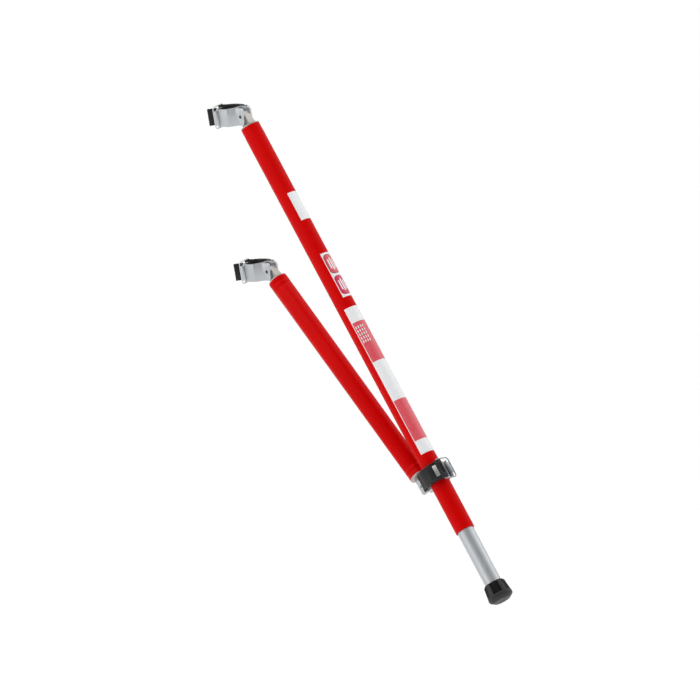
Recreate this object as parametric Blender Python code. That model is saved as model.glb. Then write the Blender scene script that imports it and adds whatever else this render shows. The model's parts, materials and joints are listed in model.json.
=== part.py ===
"""Ladder stabilizer: a telescopic leg, a brace, two ladder clamps and a sliding collar clamp.

Row frame: origin at the centre of the leg clamp's grip, +Z up along the ladder stile that both upper
clamps grip, +X the way the leg and brace splay, and the pivot pins along Y.  Metres.
"""
from math import acos, asin, atan2, cos, degrees, hypot, pi, radians, sin

import bmesh
import bpy
from mathutils import Matrix, Vector

MM = 0.001
GAP = 0.3 * MM

# Overall layout
LEG_ANGLE = radians(29.0)            # leg from the stile
CLAMP_SPACING = 393.6 * MM           # leg clamp to brace clamp, along the stile
PIN_OFFSET = 52.0 * MM               # grip centre to pivot pin, on every clamp
PIN_TO_TUBE = 31.8 * MM              # pivot pin to the end of the red tube
LEG_TUBE_LENGTH = 1165.0 * MM
COLLAR_STATION = 1006.0 * MM         # top of the red leg tube to the collar's centre
INNER_SHOWING = 153.0 * MM
INNER_HIDDEN = 650.0 * MM

# Tubes
TUBE_R = 25.0 * MM
TUBE_BORE_R = 23.0 * MM
INNER_R = 21.5 * MM
INNER_BORE_R = 19.5 * MM
ROUND_SIDES = 48

# Clamp body, an extrusion: profile sizes in its own XY plane
CLAMP_HALF_H = 22.0 * MM
GRIP_R = 27.0 * MM                   # bore of body and jaw, outside the grip pads
PAD_INNER_R = TUBE_R + GAP
BODY_RING_R = 31.0 * MM
PLATE_FRONT_Y = -30.0 * MM
PLATE_BACK_Y = -26.0 * MM
PLATE_BEND_X = 22.0 * MM
EAR_BEND_X = 38.0 * MM
EAR_END_X = 64.0 * MM
EAR_INNER_Y = 9.5 * MM
EAR_OUTER_Y = 14.5 * MM
EAR_CORNER_R = 9.0 * MM
GROOVE_R = 1.9 * MM
GROOVE_OUTSIDE_ROLL = 0.5 * MM       # groove centre beyond the hook roll's surface
GROOVE_ANGLE = radians(215.0)
# The hook roll at the plate's left end: x, y, radius and half height
UPPER_ROLL = (-19.5 * MM, -28.5 * MM, 7.0 * MM, 18.0 * MM)
COLLAR_ROLL = (-26.6 * MM, -28.8 * MM, 5.25 * MM, 14.0 * MM)

# Jaw, lever and bail
HINGE_X, HINGE_Y = 36.0 * MM, 21.0 * MM
KNUCKLE_R = 5.0 * MM
KNUCKLE_SPLIT = 12.0 * MM
HINGE_PIN_R = 2.7 * MM
JAW_R = 33.0 * MM
JAW_START, JAW_END = radians(36.0), radians(176.0)
HEEL_BEND = (-42.0 * MM, -10.0 * MM)  # the upper clamps' jaws end in a heel, down and out to the left
HEEL_TIP = (-56.0 * MM, -24.0 * MM)
HEEL_HALF_T = 2.5 * MM
HEEL_HALF_H = 21.0 * MM
LEVER_X, LEVER_Y = -42.0 * MM, 4.0 * MM
LEVER_BOSS_R = 4.2 * MM
LEVER_PIN_R = 2.2 * MM
LEVER_INNER_R, LEVER_OUTER_R = 34.0 * MM, 40.5 * MM
LEVER_START, LEVER_END = radians(164.0), radians(57.0)
LEVER_ROOT_H, LEVER_TIP_H = 24.5 * MM, 18.5 * MM
BAIL_ARM = 8.0 * MM                  # lever pin to bail pivot
BAIL_ANGLE = radians(88.0)
BAIL_HALF_H = 27.3 * MM
WIRE_R = 1.5 * MM
PIVOT_PIN_R = 4.0 * MM
PIVOT_PIN_BORE_R = 2.9 * MM

# Plugs and foot
TONGUE_HALF_T = 9.0 * MM
TONGUE_BOSS_R = 12.0 * MM
FLANGE_T = 3.0 * MM
SPIGOT_LENGTH = 34.0 * MM
FOOT_LENGTH = 48.0 * MM
FOOT_SOCKET = 30.0 * MM
FOOT_RECESSES = 5
FOOT_RECESS_TURN = radians(4.0)
FOOT_RECESS_HALF = radians(24.0)
FOOT_RECESS_R = 25.3 * MM

COLOURS = {
    "red": ((0.60, 0.0, 0.0), 0.35, 0.1),
    "aluminium": ((0.43, 0.46, 0.48), 0.4, 0.9),
    "tongue": ((0.52, 0.49, 0.45), 0.45, 0.8),
    "steel": ((0.60, 0.60, 0.62), 0.25, 1.0),
    "black_plastic": ((0.015, 0.015, 0.017), 0.45, 0.0),
    "rubber": ((0.02, 0.02, 0.02), 0.8, 0.0),
    "nylon": ((0.7, 0.7, 0.66), 0.5, 0.0),
}


def clear_scene():
    for obj in list(bpy.data.objects):
        bpy.data.objects.remove(obj, do_unlink=True)


def material(node, colour_name):
    """Each sub-part has its own material."""
    colour, roughness, metallic = COLOURS[colour_name]
    mat = bpy.data.materials.new(node + "_material")
    mat.use_nodes = True
    shader = mat.node_tree.nodes["Principled BSDF"]
    shader.inputs["Base Color"].default_value = (*colour, 1.0)
    shader.inputs["Roughness"].default_value = roughness
    shader.inputs["Metallic"].default_value = metallic
    return mat


def frame(name, parent, location=(0, 0, 0), rotation=(0, 0, 0)):
    """An empty that places what is parented to it."""
    empty = bpy.data.objects.new(name, None)
    bpy.context.collection.objects.link(empty)
    empty.parent = parent
    empty.location = location
    empty.rotation_euler = rotation
    return empty


def add_object(name, bm, parent, origin=(0, 0, 0), sharp_angle=35):
    """Turn a bmesh drawn in the parent's frame into an object with its origin at the given point."""
    bmesh.ops.recalc_face_normals(bm, faces=bm.faces)
    bmesh.ops.translate(bm, verts=bm.verts, vec=-Vector(origin))
    mesh = bpy.data.meshes.new(name)
    bm.to_mesh(mesh)
    bm.free()
    mesh.shade_smooth()
    mesh.set_sharp_from_angle(angle=radians(sharp_angle))
    obj = bpy.data.objects.new(name, mesh)
    bpy.context.collection.objects.link(obj)
    obj.parent = parent
    obj.location = origin
    return obj


def node(name, bm, parent, colour, origin=(0, 0, 0)):
    obj = add_object(name, bm, parent, origin)
    obj.data.materials.append(material(name, colour))
    return obj


def combine(obj, bm, parent, operation):
    """Join a shape to an object, or cut it away, with a Boolean modifier."""
    tool = add_object(obj.name + "_tool", bm, parent)
    tool.hide_render = True
    tool.display_type = "WIRE"
    modifier = obj.modifiers.new(operation.lower(), "BOOLEAN")
    modifier.operation = operation
    modifier.object = tool
    modifier.solver = "EXACT"


# Shapes, each returned as a bmesh

def arc(centre, radius, start, end, step=radians(7.5)):
    """Points along an arc, both ends included."""
    count = max(2, round(abs(end - start) / step))
    angles = [start + (end - start) * i / count for i in range(count + 1)]
    return [(centre[0] + radius * cos(a), centre[1] + radius * sin(a)) for a in angles]


def prism(outline, low, high):
    """A straight extrusion of an XY outline along Z."""
    bm = bmesh.new()
    bottom = [bm.verts.new((x, y, low)) for x, y in outline]
    top = [bm.verts.new((x, y, high)) for x, y in outline]
    bm.faces.new(bottom[::-1])
    bm.faces.new(top)
    for i in range(len(outline)):
        j = (i + 1) % len(outline)
        bm.faces.new((bottom[i], bottom[j], top[j], top[i]))
    return bm


def turned(profile, sides=ROUND_SIDES):
    """A closed (radius, height) profile turned about Z; a radius of 0 is a point on the axis."""
    bm = bmesh.new()
    rings = []
    for radius, height in profile:
        if radius == 0:
            rings.append([bm.verts.new((0, 0, height))])
        else:
            angles = [2 * pi * k / sides for k in range(sides)]
            rings.append([bm.verts.new((radius * cos(a), radius * sin(a), height)) for a in angles])
    for first, second in zip(rings, rings[1:] + rings[:1]):
        if len(first) == 1 and len(second) == 1:
            continue
        for k in range(sides):
            n = (k + 1) % sides
            corners = [first[k % len(first)], first[n % len(first)]]
            corners += [second[n % len(second)], second[k % len(second)]]
            bm.faces.new(list(dict.fromkeys(corners)))
    return bm


def tube(outer, bore, low, high, sides=ROUND_SIDES):
    return turned([(outer, low), (outer, high), (bore, high), (bore, low)], sides)


def rod(radius, low, high, sides=16):
    return turned([(0, low), (radius, low), (radius, high), (0, high)], sides)


def moved(bm, location=(0, 0, 0), axis=None):
    """Lay a shape drawn along Z along Y instead, if asked, then move it."""
    if axis == "Y":
        bmesh.ops.rotate(bm, verts=bm.verts, cent=(0, 0, 0), matrix=Matrix.Rotation(-pi / 2, 3, "X"))
    bmesh.ops.translate(bm, verts=bm.verts, vec=location)
    return bm


def wire_loop(start, end, half_height, radius, start_corner, end_corner, sides=8):
    """A rounded rectangle of wire in the plane through Z and the line from start to end."""
    along = Vector((end[0] - start[0], end[1] - start[1], 0))
    length = along.length
    along.normalize()
    up = Vector((0, 0, 1))
    across = along.cross(up)
    base = Vector((start[0], start[1], 0))
    path = []
    far = length - end_corner
    for u, corner, begin, side in ((start_corner, start_corner, pi, -1), (far, end_corner, 1.5 * pi, -1),
                                   (far, end_corner, 0.0, 1), (start_corner, start_corner, 0.5 * pi, 1)):
        centre = base + along * u + up * side * (half_height - corner)
        for i in range(6):
            a = begin + 0.5 * pi * i / 5
            outward = along * cos(a) + up * sin(a)
            path.append((centre + outward * corner, outward))
    bm = bmesh.new()
    rings = []
    for point, outward in path:
        ring = []
        for k in range(sides):
            a = 2 * pi * (k + 0.5) / sides
            ring.append(bm.verts.new(point + radius * (outward * cos(a) + across * sin(a))))
        rings.append(ring)
    for first, second in zip(rings, rings[1:] + rings[:1]):
        for k in range(sides):
            n = (k + 1) % sides
            bm.faces.new((first[k], first[n], second[n], second[k]))
    return bm


# Clamp profiles, in the clamp's own XY plane

def body_outline(roll_x):
    ear_angle = asin(EAR_INNER_Y / BODY_RING_R)
    top_angle = asin(EAR_OUTER_Y / GRIP_R)
    left_end = radians(-172.0)
    plate_angle = -pi - asin(PLATE_BACK_Y / BODY_RING_R)
    outline = [(roll_x, PLATE_FRONT_Y), (PLATE_BEND_X, PLATE_FRONT_Y)]
    outline += [(EAR_BEND_X, -EAR_OUTER_Y), (EAR_END_X, -EAR_OUTER_Y), (EAR_END_X, -EAR_INNER_Y)]
    outline += arc((0, 0), BODY_RING_R, -ear_angle, ear_angle)
    outline += [(EAR_END_X, EAR_INNER_Y), (EAR_END_X, EAR_OUTER_Y)]
    outline += arc((0, 0), GRIP_R, top_angle, left_end)
    outline += arc((0, 0), BODY_RING_R, left_end, plate_angle)
    outline += [(roll_x, PLATE_BACK_Y)]
    return outline


def roll_outline(roll):
    """The hook roll at the plate's left end, with the groove that holds the bail."""
    x, y, radius, _ = roll
    offset = radius + GROOVE_OUTSIDE_ROLL
    reach = (radius ** 2 - GROOVE_R ** 2 + offset ** 2) / (2 * offset)
    half_mouth = acos(reach / radius)
    half_groove = acos((offset - reach) / GROOVE_R)
    front = asin((PLATE_FRONT_Y - y) / radius)
    back = asin((PLATE_BACK_Y - y) / radius)
    inward = GROOVE_ANGLE - pi
    root = x + radius + MM
    outline = [(root, PLATE_BACK_Y)]
    outline += arc((x, y), radius, back, GROOVE_ANGLE - half_mouth, radians(15))
    groove = arc(groove_centre(roll), GROOVE_R, inward + half_groove, inward - half_groove, radians(20))
    outline += groove[1:-1]
    outline += arc((x, y), radius, GROOVE_ANGLE + half_mouth, 2 * pi + front, radians(15))
    outline += [(root, PLATE_FRONT_Y)]
    return outline


def groove_centre(roll):
    x, y, radius, _ = roll
    offset = radius + GROOVE_OUTSIDE_ROLL
    return x + offset * cos(GROOVE_ANGLE), y + offset * sin(GROOVE_ANGLE)


def bail_pivot():
    return LEVER_X + BAIL_ARM * cos(BAIL_ANGLE), LEVER_Y + BAIL_ARM * sin(BAIL_ANGLE)


def capsule(first, second, radius):
    """The outline round two circles of one radius."""
    heading = atan2(second[1] - first[1], second[0] - first[0])
    outline = arc(first, radius, heading + 0.5 * pi, heading + 1.5 * pi, radians(22.5))
    outline += arc(second, radius, heading - 0.5 * pi, heading + 0.5 * pi, radians(22.5))
    return outline


def ring_outline(inner, outer, start, end):
    return arc((0, 0), outer, start, end) + arc((0, 0), inner, end, start)


def rotated(outline, angle):
    return [(x * cos(angle) - y * sin(angle), x * sin(angle) + y * cos(angle)) for x, y in outline]


# Clamp pieces

def clamp_body(name, parent, roll):
    body = node(name, prism(body_outline(roll[0]), -CLAMP_HALF_H, CLAMP_HALF_H), parent, "aluminium")
    combine(body, prism(roll_outline(roll), -roll[3], roll[3]), parent, "UNION")
    foot_y = EAR_OUTER_Y - 2 * MM
    barrel = [(HINGE_X + KNUCKLE_R, foot_y)] + arc((HINGE_X, HINGE_Y), KNUCKLE_R, 0, pi, radians(22.5))
    barrel += [(HINGE_X - KNUCKLE_R, foot_y)]
    combine(body, prism(barrel, -KNUCKLE_SPLIT, KNUCKLE_SPLIT), parent, "UNION")
    hinge_bore = rod(HINGE_PIN_R + GAP, -CLAMP_HALF_H, CLAMP_HALF_H)
    combine(body, moved(hinge_bore, (HINGE_X, HINGE_Y, 0)), parent, "DIFFERENCE")
    ear_bore = rod(PIVOT_PIN_R + GAP, -2 * EAR_OUTER_Y, 2 * EAR_OUTER_Y, 24)
    combine(body, moved(ear_bore, (PIN_OFFSET, 0, 0), "Y"), parent, "DIFFERENCE")
    for side in (-1, 1):
        combine(body, ear_corner(side), parent, "DIFFERENCE")
    return body


def ear_corner(side):
    """The waste outside the rounded end of the two ears, above or below the pin."""
    centre = (EAR_END_X - EAR_CORNER_R, CLAMP_HALF_H - EAR_CORNER_R)
    beyond = 2 * MM
    outline = arc(centre, EAR_CORNER_R, 0, 0.5 * pi, radians(15))
    outline += [(centre[0], CLAMP_HALF_H + beyond), (EAR_END_X + beyond, CLAMP_HALF_H + beyond)]
    outline += [(EAR_END_X + beyond, centre[1])]
    bm = prism(outline, -2 * EAR_OUTER_Y, 2 * EAR_OUTER_Y)
    for vert in bm.verts:
        x, z, y = vert.co
        vert.co = (x, y, side * z)
    return bm


def clamp_pad(name, parent):
    """Rubber lining of the body's half of the grip."""
    outline = ring_outline(PAD_INNER_R, GRIP_R - GAP, radians(28), radians(-168))
    return node(name, prism(outline, -CLAMP_HALF_H + MM, CLAMP_HALF_H - MM), parent, "rubber")


def clamp_jaw(name, parent, heel):
    hinge = (HINGE_X, HINGE_Y, 0)
    ring = ring_outline(GRIP_R, JAW_R, JAW_START, JAW_END)
    jaw = node(name, prism(ring, -CLAMP_HALF_H, CLAMP_HALF_H), parent, "black_plastic", hinge)
    arm = arc((HINGE_X, HINGE_Y), KNUCKLE_R, -0.5 * pi, 0.5 * pi, radians(22.5))
    arm += [(JAW_R * cos(radians(54)), JAW_R * sin(radians(54))), (GRIP_R * 0.87, HINGE_Y)]
    arm += [((GRIP_R + MM) * cos(JAW_START), HINGE_Y - KNUCKLE_R)]
    for low, high in ((KNUCKLE_SPLIT + GAP, CLAMP_HALF_H), (-CLAMP_HALF_H, -KNUCKLE_SPLIT - GAP)):
        combine(jaw, prism(arm, low, high), parent, "UNION")
    boss = arc((LEVER_X, LEVER_Y), LEVER_BOSS_R, radians(45), radians(270), radians(22.5))
    boss += [(-GRIP_R - 2 * MM, LEVER_Y - 1.6 * MM), (-GRIP_R - 2 * MM, LEVER_Y + 2.9 * MM)]
    combine(jaw, prism(boss, -KNUCKLE_SPLIT, KNUCKLE_SPLIT), parent, "UNION")
    if heel:
        link = capsule((LEVER_X, LEVER_Y - 3 * MM), HEEL_BEND, HEEL_HALF_T)
        combine(jaw, prism(link, -KNUCKLE_SPLIT, KNUCKLE_SPLIT), parent, "UNION")
        flare = capsule(HEEL_BEND, HEEL_TIP, HEEL_HALF_T)
        combine(jaw, prism(flare, -HEEL_HALF_H, HEEL_HALF_H), parent, "UNION")
    hinge_bore = rod(HINGE_PIN_R + GAP, -2 * CLAMP_HALF_H, 2 * CLAMP_HALF_H)
    combine(jaw, moved(hinge_bore, hinge), parent, "DIFFERENCE")
    lever_bore = rod(LEVER_PIN_R + GAP, -2 * CLAMP_HALF_H, 2 * CLAMP_HALF_H)
    combine(jaw, moved(lever_bore, (LEVER_X, LEVER_Y, 0)), parent, "DIFFERENCE")
    return jaw


def clamp_jaw_pad(name, parent):
    outline = ring_outline(PAD_INNER_R, GRIP_R - GAP, radians(38), radians(172))
    origin = (HINGE_X, HINGE_Y, 0)
    return node(name, prism(outline, -CLAMP_HALF_H + MM, CLAMP_HALF_H - MM), parent, "rubber", origin)


def lever_blade():
    """The curved blade that lies over the jaw, narrowing to its tip, with a finger lip."""
    bm = bmesh.new()
    sections = []
    steps = 16
    lip = 3.0 * MM
    for i in range(steps + 1):
        share = i / steps
        angle = LEVER_START + (LEVER_END - LEVER_START) * share
        half = LEVER_ROOT_H + (LEVER_TIP_H - LEVER_ROOT_H) * share
        outer = LEVER_OUTER_R + lip * max(0.0, (share - 0.85) / 0.15)
        section = []
        for radius, z in ((LEVER_INNER_R, -half), (outer, -half), (outer, half), (LEVER_INNER_R, half)):
            section.append(bm.verts.new((radius * cos(angle), radius * sin(angle), z)))
        sections.append(section)
    for first, second in zip(sections, sections[1:]):
        for k in range(4):
            n = (k + 1) % 4
            bm.faces.new((first[k], first[n], second[n], second[k]))
    bm.faces.new(sections[0])
    bm.faces.new(sections[-1])
    return bm


def clamp_lever(name, parent):
    pin = (LEVER_X, LEVER_Y, 0)
    pivot = bail_pivot()
    lever = node(name, lever_blade(), parent, "black_plastic", pin)
    root_r = 3.4 * MM
    root = capsule(pivot, (pivot[0] + 4 * MM, pivot[1] + 1.5 * MM), root_r)
    combine(lever, prism(root, -LEVER_ROOT_H, LEVER_ROOT_H), parent, "UNION")
    cheek = capsule(pin[:2], pivot, LEVER_BOSS_R)
    for low, high in ((KNUCKLE_SPLIT + GAP, LEVER_ROOT_H), (-LEVER_ROOT_H, -KNUCKLE_SPLIT - GAP)):
        combine(lever, prism(cheek, low, high), parent, "UNION")
    for point, radius in ((pin, LEVER_PIN_R + GAP), ((*pivot, 0), WIRE_R + GAP)):
        bore = moved(rod(radius, -2 * LEVER_ROOT_H, 2 * LEVER_ROOT_H), point)
        combine(lever, bore, parent, "DIFFERENCE")
    return lever


def clamp_lever_plate(name, parent):
    """Small metal plate lying on the lever's outer face, near its root."""
    half_width, half_height, thickness = 5 * MM, 15 * MM, 1.6 * MM
    low = LEVER_OUTER_R + GAP
    high = low + thickness
    outline = [(low, -half_width), (high, -half_width), (high, half_width), (low, half_width)]
    plate = prism(rotated(outline, radians(148)), -half_height, half_height)
    return node(name, plate, parent, "steel", (LEVER_X, LEVER_Y, 0))


def clamp(prefix, parent, upper=True):
    """All the pieces of one quick-release clamp; the collar has a sliding liner instead of pads."""
    roll = UPPER_ROLL if upper else COLLAR_ROLL
    clamp_body(prefix + "_body", parent, roll)
    clamp_jaw(prefix + "_jaw", parent, heel=upper)
    clamp_lever(prefix + "_lever", parent)
    clamp_lever_plate(prefix + "_lever_plate", parent)
    if upper:
        clamp_pad(prefix + "_pad", parent)
        clamp_jaw_pad(prefix + "_jaw_pad", parent)
    else:
        split = radians(4)
        outline = ring_outline(PAD_INNER_R, GRIP_R - GAP, split, 2 * pi - split)
        node(prefix + "_liner", prism(outline, -CLAMP_HALF_H + MM, CLAMP_HALF_H - MM), parent, "nylon")
    hinge = (HINGE_X, HINGE_Y, 0)
    node(prefix + "_hinge_pin", moved(rod(HINGE_PIN_R, -23 * MM, 23 * MM), hinge), parent, "steel", hinge)
    lever_pin = (LEVER_X, LEVER_Y, 0)
    lever_rod = moved(rod(LEVER_PIN_R, -24 * MM, 24 * MM), lever_pin)
    node(prefix + "_lever_pin", lever_rod, parent, "steel", lever_pin)
    pivot = bail_pivot()
    bail = wire_loop(pivot, groove_centre(roll), BAIL_HALF_H, WIRE_R, 2.9 * MM, 8.0 * MM)
    node(prefix + "_bail", bail, parent, "steel", (*pivot, 0))
    pin = tube(PIVOT_PIN_R, PIVOT_PIN_BORE_R, GAP - EAR_OUTER_Y, EAR_OUTER_Y - GAP, 24)
    node(prefix + "_pivot_pin", moved(pin, (PIN_OFFSET, 0, 0), "Y"), parent, "steel", (PIN_OFFSET, 0, 0))


# Plugs, tubes and foot, drawn with the pivot pin at the origin and the tube along +Z

def plug(name, parent):
    """Tube plug: a spigot and flange in the tube's mouth, and a flat tongue with the pivot bore."""
    flange_low = PIN_TO_TUBE - GAP - FLANGE_T
    flange_r = TUBE_R - 0.4 * MM
    spigot_r = TUBE_BORE_R - GAP
    profile = [(0, flange_low - 2.5 * MM), (19 * MM, flange_low - 2.5 * MM), (TUBE_R - 2 * MM, flange_low)]
    profile += [(flange_r, flange_low + 0.6 * MM), (flange_r, PIN_TO_TUBE - GAP)]
    profile += [(spigot_r, PIN_TO_TUBE - GAP), (spigot_r, PIN_TO_TUBE + SPIGOT_LENGTH)]
    profile += [(0, PIN_TO_TUBE + SPIGOT_LENGTH)]
    obj = node(name, turned(profile), parent, "tongue")
    shoulder = 17 * MM
    outline = arc((0, 0), TONGUE_BOSS_R, pi, 2 * pi, radians(15))
    outline += [(shoulder, flange_low), (-shoulder, flange_low)]
    tongue = prism(outline, -TONGUE_HALF_T, TONGUE_HALF_T)
    for vert in tongue.verts:
        x, z, y = vert.co
        vert.co = (x, y, z)
    combine(obj, tongue, parent, "UNION")
    bore = rod(PIVOT_PIN_R + GAP, -2 * TONGUE_HALF_T, 2 * TONGUE_HALF_T, 24)
    combine(obj, moved(bore, (0, 0, 0), "Y"), parent, "DIFFERENCE")
    return obj


def foot(name, parent, top):
    """Rubber foot over the end of the inner tube, with recesses moulded round its side."""
    chamfer = 1.5 * MM
    profile = [(0, FOOT_LENGTH), (22.5 * MM, FOOT_LENGTH), (32 * MM, 41 * MM), (32.5 * MM, 37 * MM),
               (28 * MM, chamfer), (28 * MM - chamfer, 0), (INNER_R + GAP, 0), (INNER_R + GAP, FOOT_SOCKET),
               (0, FOOT_SOCKET)]
    obj = node(name, moved(turned(profile), (0, 0, top)), parent, "rubber")
    for k in range(FOOT_RECESSES):
        middle = FOOT_RECESS_TURN + 2 * pi * k / FOOT_RECESSES
        outline = ring_outline(FOOT_RECESS_R, 40 * MM, middle - FOOT_RECESS_HALF, middle + FOOT_RECESS_HALF)
        combine(obj, prism(outline, top - 2 * MM, top + 32 * MM), parent, "DIFFERENCE")
    return obj


def leg(parent):
    tube_end = PIN_TO_TUBE + LEG_TUBE_LENGTH
    plug("leg_plug", parent)
    node("leg_tube", tube(TUBE_R, TUBE_BORE_R, PIN_TO_TUBE, tube_end), parent, "red")
    bush = tube(TUBE_BORE_R - GAP, INNER_R + GAP, tube_end - 42 * MM, tube_end - 2 * MM)
    node("guide_bush", bush, parent, "nylon")
    inner_top = tube_end - INNER_HIDDEN
    foot_top = tube_end + INNER_SHOWING
    inner_end = foot_top + FOOT_SOCKET - GAP
    node("inner_tube", tube(INNER_R, INNER_BORE_R, inner_top, inner_end), parent, "aluminium")
    cone_low = inner_top - GAP
    shaft_r, fit_r = 6 * MM, INNER_BORE_R - GAP
    cone = [(0, cone_low - 42 * MM), (shaft_r, cone_low - 42 * MM), (shaft_r, cone_low - 12 * MM),
            (14 * MM, cone_low - 3 * MM), (INNER_R, cone_low - 3 * MM), (INNER_R, cone_low),
            (fit_r, cone_low), (fit_r, cone_low + 30 * MM), (0, cone_low + 30 * MM)]
    node("expander_cone", turned(cone), parent, "steel")
    shoe = [(shaft_r + GAP, cone_low - 40 * MM), (TUBE_BORE_R - GAP, cone_low - 40 * MM)]
    shoe += [(TUBE_BORE_R - GAP, cone_low - 4 * MM), (14 * MM, cone_low - 4 * MM)]
    shoe += [(shaft_r + GAP, cone_low - 13 * MM)]
    node("expander_shoe", turned(shoe), parent, "nylon")
    foot("foot", parent, foot_top)
    node("foot_plug", moved(rod(fit_r, -25 * MM, 0, ROUND_SIDES), (0, 0, inner_end)), parent, "nylon")


def main():
    clear_scene()
    leg_clamp = frame("leg_clamp_frame", None)
    clamp("leg_clamp", leg_clamp)

    brace_clamp = frame("brace_clamp_frame", None, (0, 0, -CLAMP_SPACING))
    clamp("brace_clamp", brace_clamp)

    leg_frame = frame("leg_frame", None, (PIN_OFFSET, 0, 0), (0, pi - LEG_ANGLE, 0))
    leg(leg_frame)

    collar_along = PIN_TO_TUBE + COLLAR_STATION
    collar = frame("collar_frame", leg_frame, (0, 0, collar_along), (pi, 0, 0))
    clamp("collar", collar, upper=False)

    # The brace runs from the brace clamp's pin to the collar's pin.
    collar_x = collar_along * sin(LEG_ANGLE) - PIN_OFFSET * cos(LEG_ANGLE)
    collar_z = CLAMP_SPACING - collar_along * cos(LEG_ANGLE) - PIN_OFFSET * sin(LEG_ANGLE)
    brace_angle = atan2(collar_x, -collar_z)
    brace_length = hypot(collar_x, collar_z)
    brace = frame("brace_frame", None, (PIN_OFFSET, 0, -CLAMP_SPACING), (0, pi - brace_angle, 0))
    plug("brace_top_plug", brace)
    brace_tube = tube(TUBE_R, TUBE_BORE_R, PIN_TO_TUBE, brace_length - PIN_TO_TUBE)
    node("brace_tube", brace_tube, brace, "red")
    brace_foot = frame("brace_foot_frame", brace, (0, 0, brace_length), (pi, 0, 0))
    plug("brace_bottom_plug", brace_foot)
    print(f"brace: {degrees(brace_angle):.2f} degrees from the stile, {brace_length:.4f} m pin to pin")


main()
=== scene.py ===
"""The looks of the ladder stabilizer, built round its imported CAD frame. Metres, in the CAD's frame."""
import json
from math import acos, asin, atan2, cos, pi, radians, sin

import bmesh
import bpy
from mathutils import Matrix, Vector


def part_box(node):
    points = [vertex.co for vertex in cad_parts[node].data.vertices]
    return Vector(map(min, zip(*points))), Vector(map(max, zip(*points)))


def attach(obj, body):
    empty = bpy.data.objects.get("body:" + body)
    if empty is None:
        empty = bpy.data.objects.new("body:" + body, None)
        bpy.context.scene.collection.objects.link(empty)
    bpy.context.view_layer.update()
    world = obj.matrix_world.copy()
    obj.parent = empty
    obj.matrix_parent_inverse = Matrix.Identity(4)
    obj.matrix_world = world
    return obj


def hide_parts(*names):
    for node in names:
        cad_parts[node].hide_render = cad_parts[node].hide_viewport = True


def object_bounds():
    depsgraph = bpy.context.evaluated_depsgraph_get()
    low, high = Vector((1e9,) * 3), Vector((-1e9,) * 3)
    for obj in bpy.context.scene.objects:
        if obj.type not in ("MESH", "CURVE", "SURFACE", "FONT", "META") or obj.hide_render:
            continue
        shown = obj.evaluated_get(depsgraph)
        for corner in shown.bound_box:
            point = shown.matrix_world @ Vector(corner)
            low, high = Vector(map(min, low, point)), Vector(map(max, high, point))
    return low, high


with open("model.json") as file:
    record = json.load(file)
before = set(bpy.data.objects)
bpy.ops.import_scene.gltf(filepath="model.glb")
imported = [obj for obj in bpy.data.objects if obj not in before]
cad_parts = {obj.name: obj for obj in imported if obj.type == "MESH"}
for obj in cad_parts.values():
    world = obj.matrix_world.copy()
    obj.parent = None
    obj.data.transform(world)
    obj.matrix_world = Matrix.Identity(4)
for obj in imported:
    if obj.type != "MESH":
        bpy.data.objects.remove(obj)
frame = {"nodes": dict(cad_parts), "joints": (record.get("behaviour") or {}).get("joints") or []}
CAD_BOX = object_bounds()

MM = 0.001
GAP = 0.3 * MM
THROUGH = 40 * MM
JOINTS = {joint["name"]: joint for joint in frame["joints"]}


def point_of(joint):
    return Vector(JOINTS[joint]["pos_m"])


def axis_of(joint):
    return Vector(JOINTS[joint]["axis"])


def placed(origin, z_axis, x_hint):
    """A frame matrix at origin with Z along z_axis and X as near x_hint as it can be."""
    z = z_axis.normalized()
    y = z.cross(x_hint).normalized()
    x = y.cross(z)
    matrix = Matrix((x, y, z)).transposed().to_4x4()
    matrix.translation = origin
    return matrix


# Places read from the frame
LEG_PIN = point_of("leg_pivot")
PIN_OFFSET = LEG_PIN.x
LEG_AXIS = axis_of("leg_telescope")
LEG_ACROSS = Vector((0, 1, 0)).cross(LEG_AXIS)
COLLAR_PIN = point_of("brace_pivot")
BRACE_PIN = point_of("brace_clamp_pivot")
BRACE_AXIS = (COLLAR_PIN - BRACE_PIN).normalized()
BRACE_LENGTH = (COLLAR_PIN - BRACE_PIN).length
HINGE = point_of("leg_clamp_jaw_open")
LEVER_PIN = point_of("leg_clamp_lever_turn")
BAIL_PIVOT = point_of("leg_clamp_bail_swing")

LEG_FRAME = placed(LEG_PIN, LEG_AXIS, LEG_ACROSS)
BRACE_FRAME = placed(BRACE_PIN, BRACE_AXIS, Vector((0, 1, 0)).cross(BRACE_AXIS))
BRACE_FOOT_FRAME = placed(COLLAR_PIN, -BRACE_AXIS, Vector((0, 1, 0)).cross(BRACE_AXIS))
CLAMP_FRAMES = {
    "leg_clamp": Matrix.Identity(4),
    "brace_clamp": Matrix.Translation((0, 0, BRACE_PIN.z)),
    "collar": placed(point_of("collar_turn"), -LEG_AXIS, LEG_ACROSS),
}


def stations(node, origin, axis, radius):
    """How far along the axis a straight round node starts and ends, from its box and radius."""
    low, high = (Vector(corner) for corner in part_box(node))
    middle = (low + high) / 2
    centre = (middle - origin).dot(axis)
    spread = high - low
    half = (spread.x - 2 * radius * abs(axis.z)) / abs(axis.x) / 2
    return centre - half, centre + half


# Sizes, most of them shared with the CAD solids
TUBE_R = 25.0 * MM
TUBE_BORE_R = 23.0 * MM
INNER_R = 21.5 * MM
INNER_BORE_R = 19.5 * MM
TUBE_TOP, TUBE_END = stations("leg_tube", LEG_PIN, LEG_AXIS, TUBE_R)
BRACE_TOP, BRACE_END = stations("brace_tube", BRACE_PIN, BRACE_AXIS, TUBE_R)
INNER_TOP, INNER_END = stations("inner_tube", LEG_PIN, LEG_AXIS, INNER_R)
FOOT_LENGTH, FOOT_SOCKET = 48.0 * MM, 30.0 * MM
FOOT_TOP = INNER_END + GAP - FOOT_SOCKET
SIDES = 96

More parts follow.
